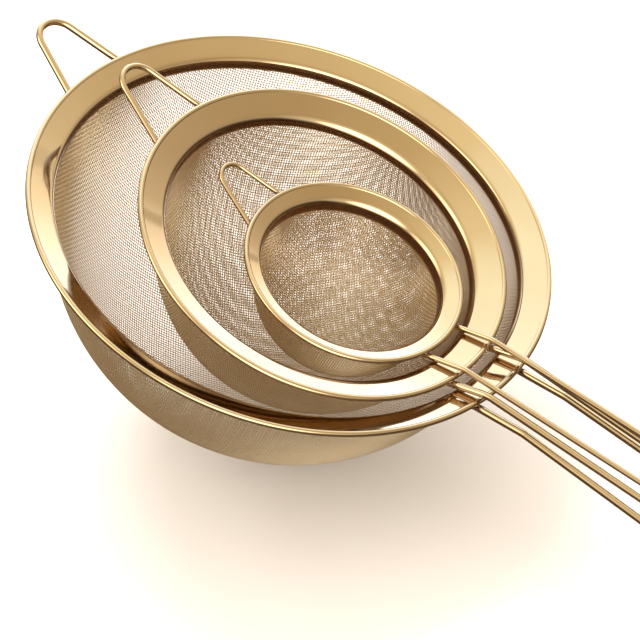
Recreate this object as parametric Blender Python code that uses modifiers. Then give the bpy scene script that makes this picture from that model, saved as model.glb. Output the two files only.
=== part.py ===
"""Nested set of three fine-mesh kitchen strainers with wire handles.

Each strainer is built in its own frame: the origin is at the centre of its rim,
level with the rolled bead, +X runs out along the handle and +Z points out of the
bowl.  The large strainer leans until its bowl and the end of its handle both
touch the table at Z = 0.  The medium strainer hangs inside the large one and the
small one inside the medium one, with their handle wires lying across the rim
below.  The world origin is the spot where the large bowl touches the table.
"""

from collections import namedtuple
from math import acos, asin, atan, atan2, cos, degrees, hypot, pi, radians, sin, sqrt, tan

import bmesh
import bpy
from mathutils import Vector

# Driving dimensions: millimetres and degrees, turned into metres by MM.
MM = 0.001
GAP = 0.33
MESH_THICKNESS = 0.5
RING_THICKNESS = 0.6
WIRE_RESOLUTION = 2
BEAD_STEPS = 8
BOWL_STEP = 12.3
LOOP_STEPS = 9
TIP_STEPS = 8
MERGE_DISTANCE = 0.00001

Strainer = namedtuple(
    "Strainer",
    "name segments sheet rim_radius bead_radius lip_radius lip_depth collar_depth "
    "bowl_depth under_rim handle ear",
)
# rise is the wire's slope out to the bend, slope and drift its way after it.
Handle = namedtuple(
    "Handle",
    "wire_radius half_gap rise bend_at slope drift length end_half_gap",
)
# reach is how far the rounded tip stands out past the rim.
Ear = namedtuple("Ear", "wire_radius half_width slope tip_radius reach")

LARGE = Strainer(
    name="large",
    segments=48,
    sheet=0.7,
    rim_radius=100.0,
    bead_radius=1.1,
    lip_radius=88.5,
    lip_depth=2.6,
    collar_depth=6.5,
    bowl_depth=88.0,
    under_rim=5.0,
    handle=Handle(
        wire_radius=1.45,
        half_gap=13.5,
        rise=11.0,
        bend_at=118.0,
        slope=2.8,
        drift=0.0,
        length=None,
        end_half_gap=15.5,
    ),
    ear=Ear(wire_radius=1.4, half_width=14.9, slope=13.9, tip_radius=8.4, reach=26.0),
)
MEDIUM = Strainer(
    name="medium",
    segments=40,
    sheet=0.7,
    rim_radius=71.2,
    bead_radius=1.1,
    lip_radius=59.1,
    lip_depth=3.5,
    collar_depth=7.0,
    bowl_depth=66.0,
    under_rim=4.0,
    handle=Handle(
        wire_radius=1.35,
        half_gap=12.6,
        rise=28.0,
        bend_at=82.9,
        slope=9.2,
        drift=-1.6,
        length=130.0,
        end_half_gap=11.0,
    ),
    ear=Ear(wire_radius=1.15, half_width=14.2, slope=11.2, tip_radius=8.0, reach=26.2),
)
SMALL = Strainer(
    name="small",
    segments=32,
    sheet=0.6,
    rim_radius=42.0,
    bead_radius=1.0,
    lip_radius=34.1,
    lip_depth=1.9,
    collar_depth=6.7,
    bowl_depth=41.0,
    under_rim=3.0,
    handle=Handle(
        wire_radius=1.05,
        half_gap=10.0,
        rise=22.4,
        bend_at=54.8,
        slope=8.2,
        drift=-2.3,
        length=105.0,
        end_half_gap=10.0,
    ),
    ear=Ear(wire_radius=0.95, half_width=10.9, slope=14.3, tip_radius=6.2, reach=19.5),
)

# Where each strainer hangs in the frame of the one below it.
MEDIUM_PLACE = (16.3, -4.8, 9.0)
MEDIUM_TILT = 6.3
MEDIUM_YAW = 3.3
SMALL_PLACE = (15.4, -0.7, -2.4)
SMALL_TILT = -2.6
SMALL_YAW = 1.4

GOLD = (0.80, 0.60, 0.30, 1.0)
PALE_GOLD = (0.86, 0.70, 0.42, 1.0)
MESH_GOLD = (0.62, 0.50, 0.32, 1.0)
POLISHED = 0.12
WOVEN = 0.35


def clear_scene():
    for obj in list(bpy.data.objects):
        bpy.data.objects.remove(obj, do_unlink=True)


def metal(name, colour, roughness):
    material = bpy.data.materials.new(name)
    material.use_nodes = True
    shader = material.node_tree.nodes["Principled BSDF"]
    shader.inputs["Base Color"].default_value = colour
    shader.inputs["Metallic"].default_value = 1.0
    shader.inputs["Roughness"].default_value = roughness
    return material


def finish(obj, collection, parent, material):
    collection.objects.link(obj)
    obj.parent = parent
    obj.data.materials.append(material)


def frame_empty(name, collection, parent, place, tilt, yaw):
    """An empty at a rim's centre: yawed about its own Z, then tilted about Y."""
    empty = bpy.data.objects.new(name, None)
    collection.objects.link(empty)
    empty.parent = parent
    empty.location = [value * MM for value in place]
    empty.rotation_mode = "ZYX"
    empty.rotation_euler = (0.0, radians(tilt), radians(yaw))
    return empty


# ---------------------------------------------------------------- turned parts


def flange_angle(strainer):
    """The slope of the flange, from the top of the bead down to the lip."""
    run = strainer.rim_radius - strainer.bead_radius - strainer.lip_radius
    return atan2(strainer.lip_depth + strainer.bead_radius, run)


def underside_height(strainer, radius):
    """The height of the flange's lower face at a radius outside the collar."""
    angle = flange_angle(strainer)
    top = -strainer.lip_depth + (radius - strainer.lip_radius) * tan(angle)
    return top - strainer.sheet / cos(angle)


def mesh_inner_radius(strainer):
    return strainer.lip_radius + strainer.sheet + GAP


def mesh_outer_radius(strainer):
    return mesh_inner_radius(strainer) + MESH_THICKNESS


def mesh_top(strainer):
    clear = GAP / cos(flange_angle(strainer))
    return underside_height(strainer, mesh_inner_radius(strainer)) - clear


def bowl_sphere(strainer):
    """The radius of the bowl's outer face, and its centre's height."""
    edge = mesh_outer_radius(strainer)
    rise = strainer.bowl_depth - strainer.collar_depth
    radius = (edge * edge + rise * rise) / (2.0 * rise)
    return radius, radius - strainer.bowl_depth


def turned(name, profile, segments, closed):
    """An object whose outline, in millimetres at +X, is turned about Z."""
    build = bmesh.new()
    # Half a step of turn puts the middle of a facet, not its edge, at +X.
    half = pi / segments
    points = []
    for r, z in profile:
        points.append(build.verts.new((r * cos(half) * MM, r * sin(half) * MM, z * MM)))
    for first, second in zip(points, points[1:]):
        build.edges.new((first, second))
    if closed:
        build.edges.new((points[-1], points[0]))
    mesh = bpy.data.meshes.new(name)
    build.to_mesh(mesh)
    build.free()
    obj = bpy.data.objects.new(name, mesh)
    screw = obj.modifiers.new("turn", "SCREW")
    screw.axis = "Z"
    screw.steps = segments
    screw.render_steps = segments
    screw.use_merge_vertices = True
    screw.merge_threshold = MERGE_DISTANCE
    screw.use_smooth_shade = True
    return obj


def rim_profile(strainer):
    """Rolled bead, sloping flange and upright collar as one closed outline."""
    bead = strainer.bead_radius
    centre = strainer.rim_radius - bead
    # The roll leaves the flange's upper face and comes back to its lower face.
    start = pi / 2.0 + flange_angle(strainer)
    sweep = 2.0 * pi - acos((bead - strainer.sheet) / bead)
    profile = []
    for step in range(BEAD_STEPS + 1):
        turn = start - sweep * step / BEAD_STEPS
        profile.append((centre + bead * cos(turn), bead * sin(turn)))
    outer_face = strainer.lip_radius + strainer.sheet
    profile.append((outer_face, underside_height(strainer, outer_face)))
    profile.append((outer_face, -strainer.collar_depth))
    profile.append((strainer.lip_radius, -strainer.collar_depth))
    profile.append((strainer.lip_radius, -strainer.lip_depth))
    return profile


def make_rim(strainer, material, collection, parent):
    name = strainer.name + "_rim"
    rim = turned(name, rim_profile(strainer), strainer.segments, closed=True)
    finish(rim, collection, parent, material)


def make_mesh_ring(strainer, material, collection, parent):
    """The band that holds the wire cloth's edge against the collar."""
    inner = mesh_outer_radius(strainer) + GAP
    outer = inner + RING_THICKNESS
    top = mesh_top(strainer)
    bottom = -strainer.collar_depth
    profile = [(outer, top), (outer, bottom), (inner, bottom), (inner, top)]
    name = strainer.name + "_mesh_ring"
    ring = turned(name, profile, strainer.segments, closed=True)
    finish(ring, collection, parent, material)


def bowl_profile(strainer):
    """A short upright edge behind the collar, then a ball down to the pole."""
    radius, centre = bowl_sphere(strainer)
    edge = mesh_outer_radius(strainer)
    step = radians(BOWL_STEP)
    profile = [(edge, mesh_top(strainer)), (edge, -strainer.collar_depth)]
    bands = round(asin(edge / radius) / step)
    for index in range(bands - 1, -1, -1):
        polar = index * step
        profile.append((radius * sin(polar), centre - radius * cos(polar)))
    return profile


def make_mesh_bowl(strainer, material, collection, parent):
    """The wire cloth, as one thin shell with its edge behind the collar."""
    name = strainer.name + "_mesh_bowl"
    bowl = turned(name, bowl_profile(strainer), strainer.segments, closed=False)
    shell = bowl.modifiers.new("cloth", "SOLIDIFY")
    shell.thickness = MESH_THICKNESS * MM
    shell.offset = -1.0
    shell.use_even_offset = True
    finish(bowl, collection, parent, material)


# ------------------------------------------------------------------ wire parts


def wire(name, path, wire_radius):
    """A round wire with flat ends along a path of points in millimetres."""
    curve = bpy.data.curves.new(name, "CURVE")
    curve.dimensions = "3D"
    curve.bevel_depth = wire_radius * MM
    curve.bevel_resolution = WIRE_RESOLUTION
    curve.use_fill_caps = True
    spline = curve.splines.new("POLY")
    spline.points.add(len(path) - 1)
    for point, place in zip(spline.points, path):
        point.co = (place[0] * MM, place[1] * MM, place[2] * MM, 1.0)
    return bpy.data.objects.new(name, curve)


def inner_slope(strainer, outer_slope):
    """Under the flange a wire runs at least as steeply as the flange does."""
    return max(outer_slope, flange_angle(strainer))


def depth_at_bead(strainer, wire_radius, outer_slope):
    clear = strainer.bead_radius + GAP + wire_radius
    return -clear / cos(inner_slope(strainer, outer_slope))


def bead_crossing(strainer, half_gap):
    """How far out along X a leg at this half gap crosses under the bead."""
    centre = strainer.rim_radius - strainer.bead_radius
    return sqrt(centre * centre - half_gap * half_gap)


def handle_leg(strainer):
    """One leg from under the flange to the bend: its three places along X and Z."""
    handle = strainer.handle
    rise = radians(handle.rise)
    crossing = bead_crossing(strainer, handle.half_gap)
    depth = depth_at_bead(strainer, handle.wire_radius, rise)
    inner = strainer.under_rim
    return (
        (crossing - inner, depth - inner * tan(inner_slope(strainer, rise))),
        (crossing, depth),
        (handle.bend_at, depth + (handle.bend_at - crossing) * tan(rise)),
    )


def handle_path(strainer, length):
    """One long hairpin: out from under the rim, over the bend and round the end."""
    handle = strainer.handle
    slope = radians(handle.slope)
    drift = radians(handle.drift)
    across = Vector((0.0, 1.0, 0.0))
    along = Vector((cos(slope) * cos(drift), cos(slope) * sin(drift), sin(slope)))
    leg = [Vector((x, 0.0, z)) for x, z in handle_leg(strainer)]
    centre = leg[-1] + along * length
    path = [place + across * handle.half_gap for place in leg]
    for step in range(LOOP_STEPS + 1):
        turn = pi * step / LOOP_STEPS
        swing = across * cos(turn) + along * sin(turn)
        path.append(centre + swing * handle.end_half_gap)
    path.extend(place - across * handle.half_gap for place in reversed(leg))
    return path


def make_handle(strainer, length, material, collection, parent):
    path = handle_path(strainer, length)
    handle = wire(strainer.name + "_handle", path, strainer.handle.wire_radius)
    finish(handle, collection, parent, material)


def ear_plan(strainer, edge):
    """Half of the ear seen from above, from under the rim to the rounded tip."""
    ear = strainer.ear
    tip_centre = strainer.rim_radius + ear.reach - ear.tip_radius
    # A leg runs from its place at the bead to touch the tip's round.
    run = tip_centre - edge
    lean = atan2(ear.half_width, run) - asin(ear.tip_radius / hypot(run, ear.half_width))
    inner = strainer.under_rim
    plan = [(edge - inner, ear.half_width + inner * tan(lean)), (edge, ear.half_width)]
    for step in range(TIP_STEPS + 1):
        turn = (pi / 2.0 - lean) * (1.0 - step / TIP_STEPS)
        x = tip_centre + ear.tip_radius * cos(turn)
        plan.append((x, ear.tip_radius * sin(turn)))
    return plan


def ear_path(strainer):
    """The ear's V, on the side of the rim away from the handle."""
    ear = strainer.ear
    slope = radians(ear.slope)
    steep = inner_slope(strainer, slope)
    edge = bead_crossing(strainer, ear.half_width)
    depth = depth_at_bead(strainer, ear.wire_radius, slope)
    half = []
    for x, y in ear_plan(strainer, edge):
        grade = slope if x > edge else steep
        half.append((-x, y, depth + (x - edge) * tan(grade)))
    other = [(x, -y, z) for x, y, z in reversed(half[:-1])]
    return half + other


def make_ear(strainer, material, collection, parent):
    ear = wire(strainer.name + "_ear", ear_path(strainer), strainer.ear.wire_radius)
    finish(ear, collection, parent, material)


# -------------------------------------------------------------------- assembly


def lean_angle():
    """The large strainer's lean, with the second band of its bowl flat on the table."""
    return atan(tan(1.5 * radians(BOWL_STEP)) / cos(pi / LARGE.segments))


def large_place():
    """The rim centre's place that puts the bowl's lowest facet on the origin."""
    lean = lean_angle()
    radius, ball = bowl_sphere(LARGE)
    polar = radians(BOWL_STEP)
    across = sin(polar) * cos(pi / LARGE.segments) * sin(lean)
    ball_height = radius * (across + cos(polar) * cos(lean))
    return (-ball * sin(lean), 0.0, ball_height - ball * cos(lean))


def large_handle_length():
    """The length from the bend that brings the handle's round end to the table."""
    handle = LARGE.handle
    lean = lean_angle()
    bend_x, bend_z = handle_leg(LARGE)[-1]
    bend_height = large_place()[2] - bend_x * sin(lean) + bend_z * cos(lean)
    fall = sin(lean - radians(handle.slope))
    loop_reach = handle.end_half_gap * cos(pi / (2.0 * LOOP_STEPS))
    return (bend_height - handle.wire_radius) / fall - loop_reach


def make_strainer(strainer, length, collection, parent, gold, pale_gold, mesh_gold):
    make_rim(strainer, gold, collection, parent)
    make_mesh_ring(strainer, pale_gold, collection, parent)
    make_mesh_bowl(strainer, mesh_gold, collection, parent)
    make_handle(strainer, length, gold, collection, parent)
    make_ear(strainer, pale_gold, collection, parent)


def main():
    clear_scene()
    collection = bpy.data.collections.new("strainer_set")
    bpy.context.scene.collection.children.link(collection)
    gold = metal("gold", GOLD, POLISHED)
    pale_gold = metal("pale_gold", PALE_GOLD, POLISHED)
    mesh_gold = metal("mesh_gold", MESH_GOLD, WOVEN)
    metals = (gold, pale_gold, mesh_gold)

    lean = degrees(lean_angle())
    large = frame_empty("large_frame", collection, None, large_place(), lean, 0.0)
    medium = frame_empty("medium_frame", collection, large, MEDIUM_PLACE, MEDIUM_TILT, MEDIUM_YAW)
    small = frame_empty("small_frame", collection, medium, SMALL_PLACE, SMALL_TILT, SMALL_YAW)

    make_strainer(LARGE, large_handle_length(), collection, large, *metals)
    make_strainer(MEDIUM, MEDIUM.handle.length, collection, medium, *metals)
    make_strainer(SMALL, SMALL.handle.length, collection, small, *metals)


main()
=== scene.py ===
"""A nested set of three gold mesh strainers: fine shapes, materials, light and camera.

Every strainer is shaped in its own frame, in millimetres: the origin is at the centre
of the rim, level with the rolled bead, +X runs out along the handle and +Z points out
of the bowl.  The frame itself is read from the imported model.
"""

from collections import namedtuple
from math import acos, asin, atan2, ceil, cos, hypot, pi, radians, sin, sqrt, tan

import bpy
import numpy as np
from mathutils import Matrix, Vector

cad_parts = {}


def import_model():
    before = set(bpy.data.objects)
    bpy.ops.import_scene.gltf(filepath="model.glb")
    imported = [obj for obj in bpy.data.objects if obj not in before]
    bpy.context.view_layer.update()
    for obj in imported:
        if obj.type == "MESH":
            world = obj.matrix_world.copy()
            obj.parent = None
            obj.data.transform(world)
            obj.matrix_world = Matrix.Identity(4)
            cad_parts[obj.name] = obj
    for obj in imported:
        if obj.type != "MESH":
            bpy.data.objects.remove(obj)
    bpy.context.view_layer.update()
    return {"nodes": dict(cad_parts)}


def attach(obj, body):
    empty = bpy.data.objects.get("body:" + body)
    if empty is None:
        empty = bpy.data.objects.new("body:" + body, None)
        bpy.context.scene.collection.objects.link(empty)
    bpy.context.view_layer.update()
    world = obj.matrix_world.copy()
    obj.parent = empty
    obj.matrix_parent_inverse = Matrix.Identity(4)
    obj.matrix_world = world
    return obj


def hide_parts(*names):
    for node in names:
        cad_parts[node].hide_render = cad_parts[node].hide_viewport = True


MM = 0.001
UV_NAME = "OFBake"

# The shapes, in millimetres and degrees.
GAP = 0.33
MESH_THICKNESS = 0.5
RING_THICKNESS = 0.6
CURL_SWEEP = 280.0
CURL_STEPS = 44
CREASE_HEIGHT = 0.82
CREASE_FILLET = 0.5
CREASE_STEPS = 8
LIP_STEPS = 16
COLLAR_SLOPE = 52.0
WELD_RADIUS = 0.8
RIM_SEGMENTS = 360
WIRE_SIDES = 20
BEND_STEPS = 12
LOOP_STEPS = 48
UNDER_RIM_BEND = 5.0
EAR_BEND = 4.0
BEND_RADIUS = 14.0
RING_DROP = 0.3
RING_SHORT = 0.3
WELD_SINK = 0.6
WELD_START = 0.2
# The low dome on a wire's end: each ring's radius and how far out it is, in wire radii.
WIRE_DOME = ((0.02, 0.55), (0.55, 0.45), (0.85, 0.25))
# Cloth wires are square tubes with their corners a little outside the round wire.  They run
# on for CLOTH_TUCK above the edge, and a last piece shorter than CLOTH_STUB of a cell is left
# out.  A piece of cloth has at most about CLOTH_FACES triangles.
CLOTH_SIDES = 4
CLOTH_CORNERS = 1.1
CLOTH_TUCK = 1.6
CLOTH_STUB = 0.15
CLOTH_FACES = 190000

# The rim's sheet runs from the bead down the flange to the lip, lip_depth below the bead's
# centre, and bends there into the upright collar.  Wires run in under the rim by under_rim.
Strainer = namedtuple(
    "Strainer",
    "name sheet rim_radius bead_radius lip_radius lip_depth lip_bend collar_depth bowl_depth "
    "under_rim handle ear cloth",
)
# A handle's two legs rise steeply from the rim to a bend at radius bend_at, then run on at
# their slope, with a sideways drift, to the centre of the end loop, length from the bend.
Handle = namedtuple("Handle", "wire_radius half_gap rise bend_at slope drift length end_half_gap")
# An ear is half_width from the middle at the rim, and its tip is at reach outside the rim.
Ear = namedtuple("Ear", "wire_radius half_width slope tip_radius reach")
# One of a cloth's two wire directions is turned by this angle from the handle's.
Cloth = namedtuple("Cloth", "pitch wire_radius turn")

LARGE = Strainer(
    name="large",
    sheet=0.7,
    rim_radius=100.0,
    bead_radius=1.1,
    lip_radius=88.5,
    lip_depth=2.6,
    lip_bend=2.6,
    collar_depth=6.5,
    bowl_depth=88.0,
    under_rim=5.0,
    handle=Handle(1.45, 13.5, 11.0, 118.0, 2.8, 0.0, None, 15.5),
    ear=Ear(1.4, 14.9, 13.9, 8.4, 26.0),
    cloth=Cloth(1.1, 0.145, 40.0),
)
MEDIUM = Strainer(
    name="medium",
    sheet=0.7,
    rim_radius=71.2,
    bead_radius=1.1,
    lip_radius=59.1,
    lip_depth=3.5,
    lip_bend=3.6,
    collar_depth=7.0,
    bowl_depth=66.0,
    under_rim=4.0,
    handle=Handle(1.35, 12.6, 28.0, 82.9, 9.2, -1.6, 130.0, 11.0),
    ear=Ear(1.15, 14.2, 11.2, 8.0, 26.2),
    cloth=Cloth(0.95, 0.15, 45.0),
)
SMALL = Strainer(
    name="small",
    sheet=0.6,
    rim_radius=42.0,
    bead_radius=1.0,
    lip_radius=34.1,
    lip_depth=1.9,
    lip_bend=3.2,
    collar_depth=6.7,
    bowl_depth=41.0,
    under_rim=3.0,
    handle=Handle(1.05, 10.0, 22.4, 54.8, 8.2, -2.3, 105.0, 10.0),
    ear=Ear(0.95, 10.9, 14.3, 6.2, 19.5),
    cloth=Cloth(0.9, 0.14, 30.0),
)

# The finishes: gold drifts between a dark and a light tone; the cloth has a small share of
# plain colour, for the many small bounces between its wires.
GOLD_DARK = (0.88, 0.645, 0.345)
GOLD_LIGHT = (0.93, 0.70, 0.40)
CLOTH_DARK = (0.84, 0.61, 0.33)
CLOTH_LIGHT = (0.98, 0.81, 0.53)
CLOTH_METAL = 0.84
# Painted shade: the darker brown laid on the collar's inner face, where it lies in shade.
COLLAR_SHADE_TONE = (0.34, 0.25, 0.22)
DRIFT_SCALE = 22.0
MARKS_SCALE = 900.0
WAVE_SCALE = 30.0
WAVE_HEIGHT = 0.001

# The table top, just under the set, and the soft lamp that throws the shadow.
FLOOR_SIZE = 12.0
FLOOR_HEIGHT = -0.0006
FLOOR_COLOUR = (0.93, 0.92, 0.91)
LAMP_AZIMUTH = 150.0
LAMP_ELEVATION = 52.0
LAMP_DISTANCE = 1.6
LAMP_SIZE = 1.0
LAMP_POWER = 16.0
LAMP_COLOUR = (0.92, 0.97, 1.0)

# The room.  Everything but a mirror reflection sees an even SOFT_WHITE; light that has
# bounced between two metal surfaces is dimmed by SECOND_BOUNCE.
SOFT_WHITE = (1.55, 1.36, 1.17)
SECOND_BOUNCE = (0.32, 0.36, 0.58)
BLACK = (0.0, 0.0, 0.0)
WHITE = (1.0, 1.0, 1.0)
# Colour by the sine of the height, from straight down (0) to straight up (1).
ROOM_LEVELS = (
    (0.0, (0.16, 0.12, 0.08)),
    (0.22, (0.10, 0.07, 0.045)),
    (0.42, (0.07, 0.05, 0.04)),
    (0.49, (0.10, 0.08, 0.065)),
    (0.53, (0.26, 0.22, 0.18)),
    (0.62, (0.44, 0.38, 0.32)),
    (0.88, (0.43, 0.35, 0.235)),
    (1.0, (0.55, 0.47, 0.33)),
)
# Cards of light: each has its azimuth, its elevation and its colour by the cosine of the
# angle from its middle.
Card = namedtuple("Card", "azimuth elevation stops")
# A broad soft one, high behind the set.
HIGH_CARD = Card(
    128.0,
    48.0,
    ((0.25, BLACK), (0.60, (0.08, 0.07, 0.06)), (0.85, (0.33, 0.35, 0.33)), (0.97, (0.64, 0.84, 1.05))),
)
# One just below the camera, to fill the cloth.
FILL_CARD = Card(
    -53.0,
    25.0,
    ((0.60, BLACK), (0.85, (0.30, 0.30, 0.30)), (0.92, (1.7, 1.7, 1.7)), (1.0, (2.4, 2.4, 2.4))),
)
# One to the camera's left, for a bright line along the handles.
LINE_CARD = Card(
    232.0,
    34.0,
    ((0.86, BLACK), (0.95, (1.1, 1.05, 0.95)), (1.0, (2.4, 2.3, 2.1))),
)
# Two low behind the set, where a white table would shine back from the cloth's sides.
LOW_CARD = Card(
    96.0,
    -22.0,
    ((0.965, BLACK), (0.985, (2.2, 2.3, 2.5)), (1.0, (3.4, 3.5, 3.8))),
)
LOW_SIDE_CARD = Card(
    132.0,
    -25.0,
    ((0.97, BLACK), (0.985, (2.2, 2.3, 2.5)), (1.0, (3.0, 3.1, 3.4))),
)
# Tall panes behind the set: their light by the share of the way between the two azimuths,
# the posts between them, the heights where the posts begin, and their light by height.
PANES_START = 60.0
PANES_END = 180.0
PANE_GLOW = (
    (0.0, BLACK),
    (0.12, (0.12, 0.12, 0.12)),
    (0.22, (0.6, 0.6, 0.65)),
    (0.32, (0.9, 1.15, 1.75)),
    (0.60, (0.85, 1.1, 1.7)),
    (0.80, (0.75, 0.85, 1.0)),
    (1.0, BLACK),
)
PANE_POSTS = (
    (0.145, WHITE),
    (0.155, (0.05, 0.05, 0.05)),
    (0.170, (0.05, 0.05, 0.05)),
    (0.180, WHITE),
    (0.315, WHITE),
    (0.325, (0.03, 0.03, 0.03)),
    (0.345, (0.03, 0.03, 0.03)),
    (0.355, WHITE),
)
POST_FOOT = (0.20, 0.24)
PANE_HEIGHT = (
    (0.47, BLACK),
    (0.51, (0.06, 0.06, 0.06)),
    (0.545, (0.45, 0.45, 0.45)),
    (0.57, WHITE),
    (0.70, WHITE),
    (0.80, (0.25, 0.25, 0.25)),
    (0.92, BLACK),
)

# The camera looks at a point below the large rim's centre, from above one side; at azimuth
# 0 it would look along +Y.  Lengths are in millimetres.
VIEW_AZIMUTH = 36.85
VIEW_ELEVATION = 36.24
VIEW_DISTANCE = 1000.0
VIEW_AIM = (20.37, -10.91, -28.58)
VIEW_LENS = 152.47


# ------------------------------------------------------------ frames from the model


def unique_points(node):
    """The corners of a CAD node, each place once, in millimetres."""
    count = len(node.data.vertices)
    places = np.zeros(count * 3, np.float32)
    node.data.vertices.foreach_get("co", places)
    return np.unique(np.round(places.reshape(-1, 3) / MM, 3), axis=0).astype(float)


def strainer_frame(nodes, strainer):
    """The strainer's own frame, from its turned rim and its ear, which is on -X."""
    rim = unique_points(nodes[strainer.name + "_rim"])
    ear = unique_points(nodes[strainer.name + "_ear"])
    bowl = unique_points(nodes[strainer.name + "_mesh_bowl"])
    centre = rim.mean(axis=0)
    up = np.linalg.svd(rim - centre)[2][2]
    if up @ (bowl.mean(axis=0) - centre) > 0.0:
        up = -up
    lowest = ((rim - centre) @ up).min()
    origin = centre + up * (lowest + strainer.collar_depth)
    out = origin - ear.mean(axis=0)
    out -= up * (out @ up)
    out /= np.linalg.norm(out)
    side = np.cross(up, out)
    matrix = np.eye(4)
    matrix[:3, 0] = out
    matrix[:3, 1] = side
    matrix[:3, 2] = up
    matrix[:3, 3] = origin
    return matrix


# ------------------------------------------------------------------- mesh building


def placed(points, frame):
    """Points in a strainer's own millimetres, moved to the model's metres."""
    return (points @ frame[:3, :3].T + frame[:3, 3]) * MM


def mesh_object(name, points, quads, uvs):
    """An object from arrays: places, four corners a face, and a map place a corner."""
    mesh = bpy.data.meshes.new(name)
    mesh.vertices.add(len(points))
    mesh.vertices.foreach_set("co", points.astype(np.float32).ravel())
    mesh.loops.add(quads.size)
    mesh.loops.foreach_set("vertex_index", quads.astype(np.int32).ravel())
    mesh.polygons.add(len(quads))
    mesh.polygons.foreach_set("loop_start", np.arange(len(quads), dtype=np.int32) * 4)
    mesh.polygons.foreach_set("use_smooth", np.ones(len(quads), bool))
    mesh.update(calc_edges=True)
    layer = mesh.uv_layers.new(name=UV_NAME)
    layer.uv.foreach_set("vector", uvs.astype(np.float32).ravel())
    obj = bpy.data.objects.new(name, mesh)
    bpy.context.scene.collection.objects.link(obj)
    return obj


def grid_faces(rows, columns, wrap_rows, wrap_columns):
    """A grid's faces, four corners each, with their rows and columns; points run row by row."""
    row_count = rows if wrap_rows else rows - 1
    column_count = columns if wrap_columns else columns - 1
    r, c = np.meshgrid(np.arange(row_count), np.arange(column_count), indexing="ij")
    r = r.ravel()
    c = c.ravel()
    r2 = (r + 1) % rows
    c2 = (c + 1) % columns
    quads = np.stack((r * columns + c, r2 * columns + c, r2 * columns + c2, r * columns + c2), 1)
    return quads, r, c


def path_shares(points, closed):
    """How far along the path each point is, from 0 to 1, with one more for the end."""
    if closed:
        points = np.vstack((points, points[:1]))
    steps = np.linalg.norm(np.diff(points, axis=0), axis=1)
    shares = np.concatenate(([0.0], np.cumsum(steps)))
    return shares / shares[-1]


def turned(name, outline, segments, frame):
    """A closed outline of (radius, height) turned about Z."""
    outline = np.array(outline)
    angles = np.arange(segments) * 2.0 * pi / segments
    x = np.outer(np.cos(angles), outline[:, 0])
    y = np.outer(np.sin(angles), outline[:, 0])
    z = np.tile(outline[:, 1], (segments, 1))
    points = np.stack((x, y, z), -1).reshape(-1, 3)
    quads, r, c = grid_faces(segments, len(outline), True, True)
    across = path_shares(outline, True)
    u = np.stack((r, r + 1, r + 1, r), 1) / segments
    v = np.stack((across[c], across[c], across[c + 1], across[c + 1]), 1)
    return mesh_object(name, placed(points, frame), quads, np.stack((u, v), -1))


def sheet_outline(path, thickness, end_steps=4):
    """The closed outline of a sheet of even thickness along a path, with round edges."""
    path = np.array(path)
    ahead = np.gradient(path, axis=0)
    ahead /= np.linalg.norm(ahead, axis=1)[:, None]
    side = np.stack((-ahead[:, 1], ahead[:, 0]), 1)
    half = thickness / 2.0
    turns = np.arange(1, end_steps) * pi / end_steps
    last = [path[-1] + half * (side[-1] * cos(t) + ahead[-1] * sin(t)) for t in turns]
    first = [path[0] - half * (side[0] * cos(t) + ahead[0] * sin(t)) for t in turns]
    return np.vstack((path + side * half, last, (path - side * half)[::-1], first))


def rounded(corners, radii, steps):
    """A path through corners, with an arc of the given radius in place of each."""
    path = [np.array(corners[0], float)]
    for before, corner, after, radius in zip(corners, corners[1:], corners[2:], radii):
        corner = np.array(corner, float)
        back = np.array(before, float) - corner
        ahead = np.array(after, float) - corner
        back /= np.linalg.norm(back)
        ahead /= np.linalg.norm(ahead)
        half = np.arccos(np.clip(back @ ahead, -1.0, 1.0)) / 2.0
        if radius <= 0.0 or half > pi / 2.0 - 0.0001:
            path.append(corner)
            continue
        reach = radius / tan(half)
        middle = back + ahead
        middle /= np.linalg.norm(middle)
        centre = corner + middle * (radius / sin(half))
        start = corner + back * reach - centre
        end = corner + ahead * reach - centre
        sweep = pi - 2.0 * half
        for step in range(steps + 1):
            share = step / steps
            arm = (start * sin((1.0 - share) * sweep) + end * sin(share * sweep)) / sin(sweep)
            path.append(centre + arm)
    path.append(np.array(corners[-1], float))
    return np.array(path)


def tube(name, path, radius, frame, sides=WIRE_SIDES):
    """A round wire along a path, closed at both ends by a low dome."""
    path = np.array(path)
    ahead = np.gradient(path, axis=0)
    ahead /= np.linalg.norm(ahead, axis=1)[:, None]
    side = np.cross(ahead[0], (0.0, 0.0, 1.0))
    rings = []
    for tangent in ahead:
        side = side - tangent * (side @ tangent)
        side /= np.linalg.norm(side)
        rings.append((side, np.cross(tangent, side)))
    stations = []
    for share, push in WIRE_DOME:
        stations.append((path[0] - ahead[0] * push * radius, rings[0], share))
    for place, ring in zip(path, rings):
        stations.append((place, ring, 1.0))
    for share, push in reversed(WIRE_DOME):
        stations.append((path[-1] + ahead[-1] * push * radius, rings[-1], share))
    angles = np.arange(sides) * 2.0 * pi / sides
    points = []
    for place, (first, second), share in stations:
        arms = np.outer(np.cos(angles), first) + np.outer(np.sin(angles), second)
        points.append(place + arms * radius * share)
    points = np.vstack(points)
    quads, r, c = grid_faces(len(stations), sides, False, True)
    quads = quads[:, ::-1]
    along = path_shares(np.array([s[0] for s in stations]), False)
    u = np.stack((along[r], along[r + 1], along[r + 1], along[r]), 1)[:, ::-1]
    v = (np.stack((c, c, c + 1, c + 1), 1) / sides)[:, ::-1]
    return mesh_object(name, placed(points, frame), quads, np.stack((u, v), -1))


# --------------------------------------------------------------------- sheet parts


def flange_angle(strainer):
    """The flange's slope, if it ran straight from the lip to the bead's top."""
    run = strainer.rim_radius - strainer.bead_radius - strainer.lip_radius
    return atan2(strainer.lip_depth + strainer.bead_radius, run)


def underside_height(strainer, radius):
    """The height of the flange's lower face at a radius."""
    angle = flange_angle(strainer)
    top = -strainer.lip_depth + (radius - strainer.lip_radius) * tan(angle)
    return top - strainer.sheet / cos(angle)


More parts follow.
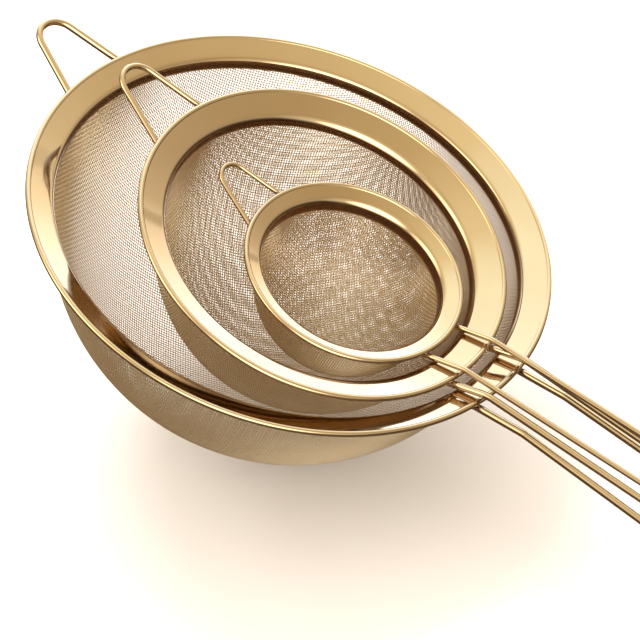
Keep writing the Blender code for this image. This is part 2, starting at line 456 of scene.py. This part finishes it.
def creased_angle(strainer):
    """The flange's slope where it meets the bead below its top, in a soft crease."""
    run = strainer.rim_radius - strainer.bead_radius - strainer.lip_radius
    height = CREASE_HEIGHT * strainer.bead_radius
    return atan2(strainer.lip_depth, run) + asin(height / hypot(strainer.lip_depth, run))


def rim_outline(strainer):
    """The sheet's path: out of the open curl, over the bead, down the flange and collar."""
    half = strainer.sheet / 2.0
    curl = strainer.bead_radius - half
    level = CREASE_HEIGHT * strainer.bead_radius - half
    angle = creased_angle(strainer)
    over = acos((level + CREASE_FILLET) / (curl + CREASE_FILLET))
    back = (curl + CREASE_FILLET) * sin(over)
    bead = []
    for turn in np.linspace(over - radians(CURL_SWEEP), over, CURL_STEPS):
        bead.append((-curl * sin(turn), curl * cos(turn)))
    for turn in np.linspace(over, 0.0, CREASE_STEPS)[1:]:
        bead.append((CREASE_FILLET * sin(turn) - back, level + CREASE_FILLET * (1.0 - cos(turn))))
    bead = np.array(bead)
    along = np.array((cos(angle), sin(angle)))
    upward = np.array((-sin(angle), cos(angle)))
    bead = np.outer(bead[:, 0], along) + np.outer(bead[:, 1], upward)
    bead[:, 0] += strainer.rim_radius - strainer.bead_radius
    collar = strainer.lip_radius + half
    corner = (collar, bead[-1][1] - (bead[-1][0] - collar) * tan(angle))
    foot = (collar, -strainer.collar_depth)
    bend = rounded([bead[-1], corner, foot], [strainer.lip_bend], LIP_STEPS)
    flange = np.linspace(bend[0], bend[1], 8)[1:-1]
    collar_line = np.linspace(bend[-2], bend[-1], 4)[1:]
    path = np.vstack((bead, flange, bend[1:-1], collar_line))
    return sheet_outline(path[::-1], strainer.sheet)


def collar_share(outline):
    """How far round the outline the inner face of the collar runs, up to the lip's bend."""
    steps = np.diff(outline, axis=0)
    slopes = np.arctan2(steps[:, 1], steps[:, 0])
    top = int(np.argmax(slopes < radians(COLLAR_SLOPE)))
    return path_shares(outline, True)[top]


def mesh_outer_radius(strainer):
    """The cloth's outer radius at its edge, outside the collar."""
    return strainer.lip_radius + strainer.sheet + GAP + MESH_THICKNESS


def ring_outline(strainer):
    """A thin upright band with rounded edges, below the bend of the lip."""
    middle = mesh_outer_radius(strainer) + GAP + RING_THICKNESS / 2.0
    inner = strainer.lip_radius + strainer.sheet + GAP
    top = underside_height(strainer, inner) - GAP / cos(flange_angle(strainer))
    height = top + strainer.collar_depth
    drop = RING_DROP * strainer.lip_bend
    path = []
    for step in range(9):
        share = step / 8.0
        path.append((middle, top - drop - (height - drop - RING_SHORT) * share))
    return sheet_outline(path, RING_THICKNESS)


# ------------------------------------------------------------------ wire parts


def inner_slope(strainer, outer_slope):
    """A wire's slope under the rim: as steep as the flange, or as the wire outside."""
    return max(outer_slope, flange_angle(strainer))


def depth_at_bead(strainer, wire_radius, outer_slope):
    """A wire's height where it passes below the bead, clear of it."""
    clear = strainer.bead_radius + GAP + wire_radius
    return -clear / cos(inner_slope(strainer, outer_slope))


def bead_crossing(strainer, half_gap):
    """How far out a wire at this distance from the middle crosses the bead's centre line."""
    centre = strainer.rim_radius - strainer.bead_radius
    return sqrt(centre * centre - half_gap * half_gap)


def handle_path(strainer, length):
    """The hairpin: each half from under the rim to the loop, then the loop between them."""
    handle = strainer.handle
    rise = radians(handle.rise)
    slope = radians(handle.slope)
    drift = radians(handle.drift)
    crossing = bead_crossing(strainer, handle.half_gap)
    depth = depth_at_bead(strainer, handle.wire_radius, rise)
    inner = strainer.under_rim
    inner_z = depth - inner * tan(inner_slope(strainer, rise))
    bend_z = depth + (handle.bend_at - crossing) * tan(rise)
    across = np.array((0.0, 1.0, 0.0))
    along = np.array((cos(slope) * cos(drift), cos(slope) * sin(drift), sin(slope)))
    bend = np.array((handle.bend_at, 0.0, bend_z))
    centre = bend + along * length
    halves = []
    for sign in (1.0, -1.0):
        side = across * sign
        corners = [
            np.array((crossing - inner, 0.0, inner_z)) + side * handle.half_gap,
            np.array((crossing, 0.0, depth)) + side * handle.half_gap,
            bend + side * handle.half_gap,
            centre + side * handle.end_half_gap,
        ]
        halves.append(rounded(corners, (UNDER_RIM_BEND, BEND_RADIUS), BEND_STEPS))
    loop = []
    for step in range(1, LOOP_STEPS):
        turn = pi * step / LOOP_STEPS
        loop.append(centre + (across * cos(turn) + along * sin(turn)) * handle.end_half_gap)
    return np.vstack((halves[0], loop, halves[1][::-1]))


def ear_path(strainer):
    """The ear's V, on the side of the rim away from the handle."""
    ear = strainer.ear
    slope = radians(ear.slope)
    steep = inner_slope(strainer, slope)
    edge = bead_crossing(strainer, ear.half_width)
    depth = depth_at_bead(strainer, ear.wire_radius, slope)
    tip_centre = strainer.rim_radius + ear.reach - ear.tip_radius
    run = tip_centre - edge
    lean = atan2(ear.half_width, run) - asin(ear.tip_radius / hypot(run, ear.half_width))
    inner = strainer.under_rim

    def height(x):
        return depth + (x - edge) * tan(slope if x > edge else steep)

    half = [(edge - inner, ear.half_width + inner * tan(lean)), (edge, ear.half_width)]
    turn = pi / 2.0 - lean
    half.append((tip_centre + ear.tip_radius * cos(turn), ear.tip_radius * sin(turn)))
    leg = rounded([(-x, y, height(x)) for x, y in half], (EAR_BEND,), BEND_STEPS)
    tip = []
    steps = LOOP_STEPS // 2
    for step in range(1, steps):
        turn = (pi / 2.0 - lean) * (1.0 - 2.0 * step / steps)
        x = tip_centre + ear.tip_radius * cos(turn)
        tip.append((-x, ear.tip_radius * sin(turn), height(x)))
    return np.vstack((leg, tip, (leg * (1.0, -1.0, 1.0))[::-1]))


def weld_paths(path, wire_radius):
    """A short seam on top of each of a wire's two straight ends, under the flange."""
    lift = np.array((0.0, 0.0, wire_radius + WELD_SINK * WELD_RADIUS))
    seams = []
    shares = np.linspace(WELD_START, 1.0, 6)
    for end, ahead in ((path[0], path[1]), (path[-1], path[-2])):
        seams.append([end + (ahead - end) * share + lift for share in shares])
    return seams


# ----------------------------------------------------------------- woven wire cloth


def bowl_sphere(strainer):
    """The radius of the ball that the bowl is part of, and its centre's height."""
    edge = mesh_outer_radius(strainer)
    rise = strainer.bowl_depth - strainer.collar_depth
    radius = (edge * edge + rise * rise) / (2.0 * rise)
    return radius, radius - strainer.bowl_depth


def cloth_net(step, count):
    """Crossings of a cloth pressed to a ball: every cell keeps its four wire lengths.

    Each new crossing is the last one mirrored in the great circle through its two
    neighbours.  Only one quarter is worked out; the others mirror it.
    """
    net = np.zeros((count, count, 3))
    arcs = np.arange(count) * step
    net[:, 0] = np.stack((np.sin(arcs), 0.0 * arcs, -np.cos(arcs)), 1)
    net[0, :] = np.stack((0.0 * arcs, np.sin(arcs), -np.cos(arcs)), 1)
    for total in range(2, 2 * count - 1):
        i = np.arange(max(1, total - count + 1), min(count, total))
        j = total - i
        one = net[i - 1, j]
        two = net[i, j - 1]
        past = net[i - 1, j - 1]
        normal = np.cross(one, two)
        size = np.linalg.norm(normal, axis=1)[:, None]
        normal = np.where(size > 1e-9, normal / np.maximum(size, 1e-9), 0.0)
        net[i, j] = past - 2.0 * (past * normal).sum(1)[:, None] * normal
    return net


def cloth_wires(strainer):
    """Every wire of one direction as (points on the unit ball, over-or-under sign)."""
    cloth = strainer.cloth
    outer, height = bowl_sphere(strainer)
    ball = outer - MESH_THICKNESS / 2.0
    edge = asin(mesh_outer_radius(strainer) / outer) + CLOTH_TUCK / outer
    step = cloth.pitch / ball
    count = int(ceil(edge / step)) + 3
    net = cloth_net(step, count)
    wires = []
    for row in range(-count + 1, count):
        line = net[abs(row)]
        if row < 0:
            line = line * (-1.0, 1.0, 1.0)
        polar = np.arccos(np.clip(-line[:, 2], -1.0, 1.0))
        over = np.nonzero(polar > edge)[0]
        keep = over[0] if len(over) else count
        if keep < 2:
            continue
        half = line[:keep]
        if keep < count:
            share = (edge - polar[keep - 1]) / (polar[keep] - polar[keep - 1])
            if share > CLOTH_STUB:
                half = np.vstack((half, line[keep - 1] + (line[keep] - line[keep - 1]) * share))
        columns = np.arange(len(half))
        signs = 1.0 - 2.0 * ((columns + row) % 2)
        other = half[:0:-1] * (1.0, -1.0, 1.0)
        wires.append((np.vstack((other, half)), np.concatenate((signs[:0:-1], signs))))
    return wires, ball, height


def woven(strainer, frame, swap, name):
    """All wires of one direction, as few enough pieces to keep each one light."""
    cloth = strainer.cloth
    wires, ball, height = cloth_wires(strainer)
    turn = radians(cloth.turn + (90.0 if swap else 0.0))
    spin = np.array(((cos(turn), -sin(turn), 0.0), (sin(turn), cos(turn), 0.0), (0.0, 0.0, 1.0)))
    flip = -1.0 if swap else 1.0
    faces = sum(len(points) - 1 for points, _ in wires) * CLOTH_SIDES * 2
    pieces = int(ceil(faces / CLOTH_FACES))
    objects = []
    for index in range(pieces):
        first = index * len(wires) // pieces
        last = (index + 1) * len(wires) // pieces
        group = wires[first:last]
        points, quads, uvs = wire_band(group, cloth.wire_radius, ball, height, flip)
        obj = mesh_object(f"{name}_{index + 1}", placed(points @ spin.T, frame), quads, uvs)
        objects.append(obj)
    return objects


def wire_band(wires, radius, ball, height, flip):
    """The tubes of a band of neighbouring wires, each with its own strip of the map."""
    longest = max(len(points) for points, _ in wires)
    all_points = []
    all_quads = []
    all_uvs = []
    base = 0
    for index, (arms, signs) in enumerate(wires):
        arms = arms / np.linalg.norm(arms, axis=1)[:, None]
        path = arms * (ball + flip * signs * radius)[:, None]
        ahead = np.gradient(path, axis=0)
        ahead /= np.linalg.norm(ahead, axis=1)[:, None]
        side = np.cross(ahead, arms)
        side /= np.linalg.norm(side, axis=1)[:, None]
        out = np.cross(side, ahead)
        rings = []
        for corner in range(CLOTH_SIDES):
            turn = 2.0 * pi * (corner + 0.5) / CLOTH_SIDES
            rings.append(path + (side * cos(turn) + out * sin(turn)) * radius * CLOTH_CORNERS)
        points = np.stack(rings, 1).reshape(-1, 3)
        points[:, 2] += height
        quads, r, c = grid_faces(len(path), CLOTH_SIDES, False, True)
        u = np.stack((r, r + 1, r + 1, r), 1) / longest
        v = (index + np.stack((c, c, c + 1, c + 1), 1) / CLOTH_SIDES) / len(wires)
        all_points.append(points)
        all_quads.append(quads + base)
        all_uvs.append(np.stack((u, v), -1))
        base += len(points)
    return np.vstack(all_points), np.vstack(all_quads), np.vstack(all_uvs)


# ----------------------------------------------------------------------- materials


def node_tree(material):
    """A material's nodes and its surface shader."""
    material.use_nodes = True
    tree = material.node_tree
    return tree, tree.nodes["Principled BSDF"]


def add(tree, kind, **values):
    """A new node with its settings."""
    node = tree.nodes.new(kind)
    for name, value in values.items():
        setattr(node, name, value)
    return node


def noise(tree, scale, detail, source):
    """Soft random drift from 0 to 1."""
    node = add(tree, "ShaderNodeTexNoise")
    node.inputs["Scale"].default_value = scale
    node.inputs["Detail"].default_value = detail
    tree.links.new(source, node.inputs["Vector"])
    return node.outputs["Fac"]


def ramp(tree, source, stops):
    """Colour by a value, through stops of (value, colour)."""
    node = add(tree, "ShaderNodeValToRGB")
    elements = node.color_ramp.elements
    while len(elements) < len(stops):
        elements.new(0.5)
    for element, (place, colour) in zip(elements, stops):
        element.position = place
        element.color = (*colour, 1.0)
    tree.links.new(source, node.inputs["Fac"])
    return node.outputs["Color"]


def span(tree, source, low, high):
    """The values from 0 to 1, spread from low to high."""
    node = add(tree, "ShaderNodeMapRange")
    node.inputs["To Min"].default_value = low
    node.inputs["To Max"].default_value = high
    tree.links.new(source, node.inputs["Value"])
    return node.outputs["Result"]


def share_of(tree, source, low, high):
    """How far a value is on its way from low to high, from 0 to 1."""
    node = add(tree, "ShaderNodeMapRange")
    node.inputs["From Min"].default_value = low
    node.inputs["From Max"].default_value = high
    tree.links.new(source, node.inputs["Value"])
    return node.outputs["Result"]


def plated(name, dark, light, smooth, rough, wave, metallic=1.0):
    """Gold plating: slow drifts of colour, fine polishing marks and a gentle unevenness.

    Roughness runs from smooth to rough.  With no wave it stays at their middle: thin wires
    are too fine to show marks.
    """
    material = bpy.data.materials.new(name)
    tree, shader = node_tree(material)
    place = add(tree, "ShaderNodeTexCoord").outputs["Object"]
    drift = noise(tree, DRIFT_SCALE, 3.0, place)
    colour = ramp(tree, drift, ((0.3, dark), (0.7, light)))
    tree.links.new(colour, shader.inputs["Base Color"])
    shader.inputs["Metallic"].default_value = metallic
    if wave == 0.0:
        shader.inputs["Roughness"].default_value = (smooth + rough) / 2.0
        return material
    marks = noise(tree, MARKS_SCALE, 4.0, place)
    tree.links.new(span(tree, marks, smooth, rough), shader.inputs["Roughness"])
    bump = add(tree, "ShaderNodeBump")
    bump.inputs["Strength"].default_value = wave
    bump.inputs["Distance"].default_value = WAVE_HEIGHT
    tree.links.new(noise(tree, WAVE_SCALE, 1.0, place), bump.inputs["Height"])
    tree.links.new(bump.outputs["Normal"], shader.inputs["Normal"])
    return material


def paint_shade_strip(material, start, end, tone):
    """Painted shade: a darker, browner strip of a turned part, by its place on the outline, where shade
    falls.
    """
    tree, shader = node_tree(material)
    plain = shader.inputs["Base Color"].links[0].from_socket
    place = add(tree, "ShaderNodeUVMap", uv_map=UV_NAME).outputs["UV"]
    split = add(tree, "ShaderNodeSeparateXYZ")
    tree.links.new(place, split.inputs["Vector"])
    soft = 0.2 * (end - start)
    strip = ramp(
        tree,
        split.outputs["Y"],
        (
            (start, WHITE),
            (start + soft, tone),
            (end - soft, tone),
            (end, WHITE),
        ),
    )
    tree.links.new(combine(tree, "MULTIPLY", plain, strip), shader.inputs["Base Color"])


def make_materials():
    """The finishes that all three strainers share."""
    return {
        "wire": plated("wire_gold", GOLD_DARK, GOLD_LIGHT, 0.05, 0.16, 0.1),
        "ring": plated("ring_gold", GOLD_DARK, GOLD_LIGHT, 0.12, 0.25, 0.1),
        "cloth": plated("cloth_gold", CLOTH_DARK, CLOTH_LIGHT, 0.22, 0.38, 0.0, CLOTH_METAL),
    }


# ------------------------------------------------------------------------ assembly


def dress(obj, material, body, slot, *nodes):
    """Give a piece its finish and its body, and hide the CAD nodes it stands for."""
    obj.data.materials.append(material)
    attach(obj, body)
    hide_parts(*nodes)


def large_handle_length(nodes, frame):
    """The length from the bend to the loop's centre, read from the CAD handle."""
    points = unique_points(nodes["large_handle"])
    local = (points - frame[:3, 3]) @ frame[:3, :3]
    handle = LARGE.handle
    reach = local[:, 0].max() - handle.bend_at - handle.wire_radius * cos(radians(handle.slope))
    return reach / cos(radians(handle.slope)) - handle.end_half_gap


def make_strainer(nodes, strainer, materials):
    """All fine pieces of one strainer; returns its frame."""
    frame = strainer_frame(nodes, strainer)
    name = strainer.name
    body = name + "_strainer"
    length = strainer.handle.length
    if length is None:
        length = large_handle_length(nodes, frame)
    outline = rim_outline(strainer)
    gold = plated(name + "_rim_gold", GOLD_DARK, GOLD_LIGHT, 0.03, 0.09, 0.25)
    # Painted shade on the inner face of the collar, up to the lip's bend.
    paint_shade_strip(gold, 0.0, collar_share(outline), COLLAR_SHADE_TONE)
    rim = turned(name + "_rim_fine", outline, RIM_SEGMENTS, frame)
    dress(rim, gold, body, name + "_rim", name + "_rim")
    ring = turned(name + "_ring_fine", ring_outline(strainer), RIM_SEGMENTS, frame)
    dress(ring, materials["ring"], body, name + "_mesh_ring", name + "_mesh_ring")
    wires = (
        ("handle", handle_path(strainer, length), strainer.handle.wire_radius),
        ("ear", ear_path(strainer), strainer.ear.wire_radius),
    )
    for label, path, radius in wires:
        slot = f"{name}_{label}"
        wire = tube(slot + "_fine", path, radius, frame)
        dress(wire, materials["wire"], body, slot, slot)
        for index, seam in enumerate(weld_paths(path, radius)):
            weld = tube(f"{slot}_weld_{index + 1}", seam, WELD_RADIUS, frame)
            dress(weld, materials["ring"], body, slot)
    for swap, label in ((False, "warp"), (True, "weft")):
        for piece in woven(strainer, frame, swap, f"{name}_{label}"):
            dress(piece, materials["cloth"], body, name + "_mesh_bowl", name + "_mesh_bowl")
    return frame


# ------------------------------------------------------------- floor, light, camera


def make_floor():
    """A white table top.  Mirrored in the metal, the room's dark lower half takes its place."""
    bpy.ops.mesh.primitive_plane_add(size=FLOOR_SIZE, location=(0.0, 0.0, FLOOR_HEIGHT))
    floor = bpy.context.object
    floor.name = "floor"
    floor.visible_glossy = False
    material = bpy.data.materials.new("floor_white")
    tree, shader = node_tree(material)
    shader.inputs["Base Color"].default_value = (*FLOOR_COLOUR, 1.0)
    shader.inputs["Roughness"].default_value = 0.7
    shader.inputs["Specular IOR Level"].default_value = 0.1
    floor.data.materials.append(material)


def direction(azimuth, elevation):
    """The unit arrow towards a place in the room; azimuth 0 is +X."""
    turn = radians(azimuth)
    lift = radians(elevation)
    return Vector((cos(turn) * cos(lift), sin(turn) * cos(lift), sin(lift)))


def combine(tree, kind, first, second):
    """Two colours added or multiplied."""
    node = add(tree, "ShaderNodeMix", data_type="RGBA", blend_type=kind)
    node.inputs["Factor"].default_value = 1.0
    tree.links.new(first, node.inputs["A"])
    tree.links.new(second, node.inputs["B"])
    return node.outputs["Result"]


def arithmetic(tree, operation, first, second):
    """A maths node; each side is a socket or a plain number."""
    node = add(tree, "ShaderNodeMath", operation=operation)
    for place, value in zip(node.inputs, (first, second)):
        if isinstance(value, (int, float)):
            place.default_value = value
        else:
            tree.links.new(value, place)
    return node.outputs["Value"]


def card_light(tree, place, card):
    """A round patch of light about one direction, by the cosine of the angle from it."""
    dot = add(tree, "ShaderNodeVectorMath", operation="DOT_PRODUCT")
    tree.links.new(place, dot.inputs[0])
    dot.inputs[1].default_value = direction(card.azimuth, card.elevation)
    return ramp(tree, dot.outputs["Value"], card.stops)


def windows(tree, azimuth, height):
    """Tall bright panes low behind the set, with a dark post between each two."""
    across = share_of(tree, azimuth, radians(PANES_START), radians(PANES_END))
    plain = ramp(tree, across, PANE_GLOW)
    posts = ramp(tree, across, PANE_POSTS)
    upper = share_of(tree, height, *POST_FOOT)
    keep = add(tree, "ShaderNodeMix", data_type="RGBA")
    tree.links.new(upper, keep.inputs["Factor"])
    keep.inputs["A"].default_value = (*WHITE, 1.0)
    tree.links.new(posts, keep.inputs["B"])
    panes = combine(tree, "MULTIPLY", plain, keep.outputs["Result"])
    level = ramp(tree, share_of(tree, height, -1.0, 1.0), PANE_HEIGHT)
    return combine(tree, "MULTIPLY", panes, level)


def room_light(tree):
    """What the metal mirrors: the room's levels, the panes behind the set and the cards."""
    place = add(tree, "ShaderNodeTexCoord").outputs["Generated"]
    split = add(tree, "ShaderNodeSeparateXYZ")
    tree.links.new(place, split.inputs["Vector"])
    height = split.outputs["Z"]
    azimuth = arithmetic(tree, "ARCTAN2", split.outputs["Y"], split.outputs["X"])
    room = ramp(tree, share_of(tree, height, -1.0, 1.0), ROOM_LEVELS)
    room = combine(tree, "ADD", room, card_light(tree, place, HIGH_CARD))
    room = combine(tree, "ADD", room, windows(tree, azimuth, height))
    for card in (FILL_CARD, LINE_CARD, LOW_CARD, LOW_SIDE_CARD):
        room = combine(tree, "ADD", room, card_light(tree, place, card))
    return room


def make_world():
    """A soft white room for the floor, and the room's own light for the metal to mirror."""
    world = bpy.data.worlds.new("studio")
    bpy.context.scene.world = world
    world.use_nodes = True
    tree = world.node_tree
    tree.nodes.clear()
    out = add(tree, "ShaderNodeOutputWorld")
    back = add(tree, "ShaderNodeBackground")
    tree.links.new(back.outputs["Background"], out.inputs["Surface"])
    room = room_light(tree)
    path = add(tree, "ShaderNodeLightPath")
    again = arithmetic(tree, "GREATER_THAN", path.outputs["Glossy Depth"], 1.5)
    dim = add(tree, "ShaderNodeMix", data_type="RGBA", blend_type="MULTIPLY")
    tree.links.new(again, dim.inputs["Factor"])
    tree.links.new(room, dim.inputs["A"])
    dim.inputs["B"].default_value = (*SECOND_BOUNCE, 1.0)
    mix = add(tree, "ShaderNodeMix", data_type="RGBA")
    tree.links.new(path.outputs["Is Glossy Ray"], mix.inputs["Factor"])
    mix.inputs["A"].default_value = (*SOFT_WHITE, 1.0)
    tree.links.new(dim.outputs["Result"], mix.inputs["B"])
    tree.links.new(mix.outputs["Result"], back.inputs["Color"])


def make_lamp():
    """One large soft lamp, high behind the set, that the metal doesn't mirror."""
    data = bpy.data.lights.new("key", "AREA")
    data.shape = "DISK"
    data.size = LAMP_SIZE
    data.energy = LAMP_POWER
    data.color = LAMP_COLOUR
    lamp = bpy.data.objects.new("key", data)
    bpy.context.scene.collection.objects.link(lamp)
    away = direction(LAMP_AZIMUTH, LAMP_ELEVATION)
    lamp.location = away * LAMP_DISTANCE
    lamp.rotation_euler = away.to_track_quat("Z", "Y").to_euler()
    lamp.visible_glossy = False


def make_camera(frame):
    """The camera, aimed from the large strainer's frame."""
    azimuth = radians(VIEW_AZIMUTH)
    elevation = radians(VIEW_ELEVATION)
    away = Vector((sin(azimuth) * cos(elevation), -cos(azimuth) * cos(elevation), sin(elevation)))
    aim = (Vector(frame[:3, 3]) + Vector(VIEW_AIM)) * MM
    data = bpy.data.cameras.new("camera")
    data.lens = VIEW_LENS
    data.sensor_width = 36.0
    data.clip_start = 0.01
    camera = bpy.data.objects.new("camera", data)
    bpy.context.scene.collection.objects.link(camera)
    camera.location = aim + away * VIEW_DISTANCE * MM
    camera.rotation_euler = away.to_track_quat("Z", "Y").to_euler()
    bpy.context.scene.camera = camera


def main():
    """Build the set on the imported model."""
    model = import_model()
    materials = make_materials()
    frames = [make_strainer(model["nodes"], s, materials) for s in (LARGE, MEDIUM, SMALL)]
    make_floor()
    make_world()
    make_lamp()
    make_camera(frames[0])
    view = bpy.context.scene.view_settings
    view.view_transform = "Standard"
    view.look = "None"


main()
